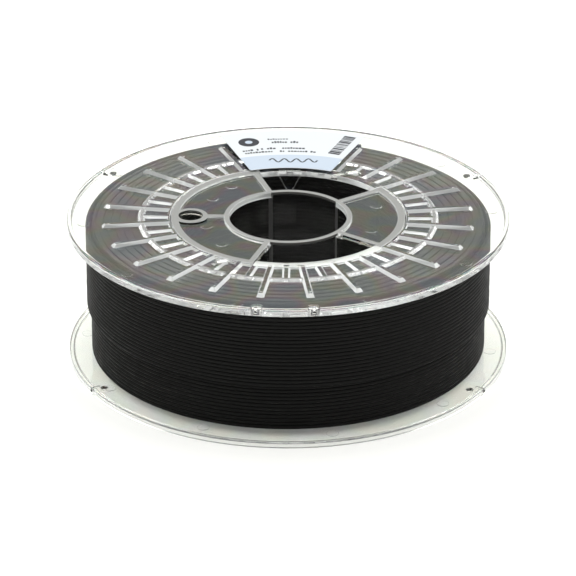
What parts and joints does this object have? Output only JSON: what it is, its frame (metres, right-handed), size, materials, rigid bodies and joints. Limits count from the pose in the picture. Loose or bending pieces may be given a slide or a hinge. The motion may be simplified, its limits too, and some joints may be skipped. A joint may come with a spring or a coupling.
{
  "type": "filament spool",
  "caption": "Clear plastic spool with ribbed flanges, a frosted hub with open and closed sectors, a label, and black filament wound on its drum.",
  "frame": {"origin": "middle of the lower flange's rim face, on the surface that the spool lies on", "axes": "+Z along the spool's axis from the lower flange to the upper one; +Y towards the label; +X so that the small round eye in the hub lies on -X"},
  "size_m": [0.2, 0.2, 0.0675],
  "materials": {
    "clear_plastic": "clear polished styrene",
    "frosted_plastic": "frosted styrene",
    "black_filament": "extruded, satin",
    "label_paper": "printed, semi-matt"
  },
  "bodies": {
    "wound_core": {"lower_flange": "clear_plastic", "lower_hub_cover": "frosted_plastic", "hub_core": "clear_plastic", "filament_winding": "black_filament", "filament_start": "black_filament"},
    "upper_end": {"upper_flange": "clear_plastic", "upper_hub_cover": "frosted_plastic", "label": "label_paper"}
  },
  "joints": [
    {"name": "upper_end_lift", "type": "slide", "parent": "wound_core", "child": "upper_end", "axis": [0, 0, 1], "range_m": [0, 0.012]}
  ]
}
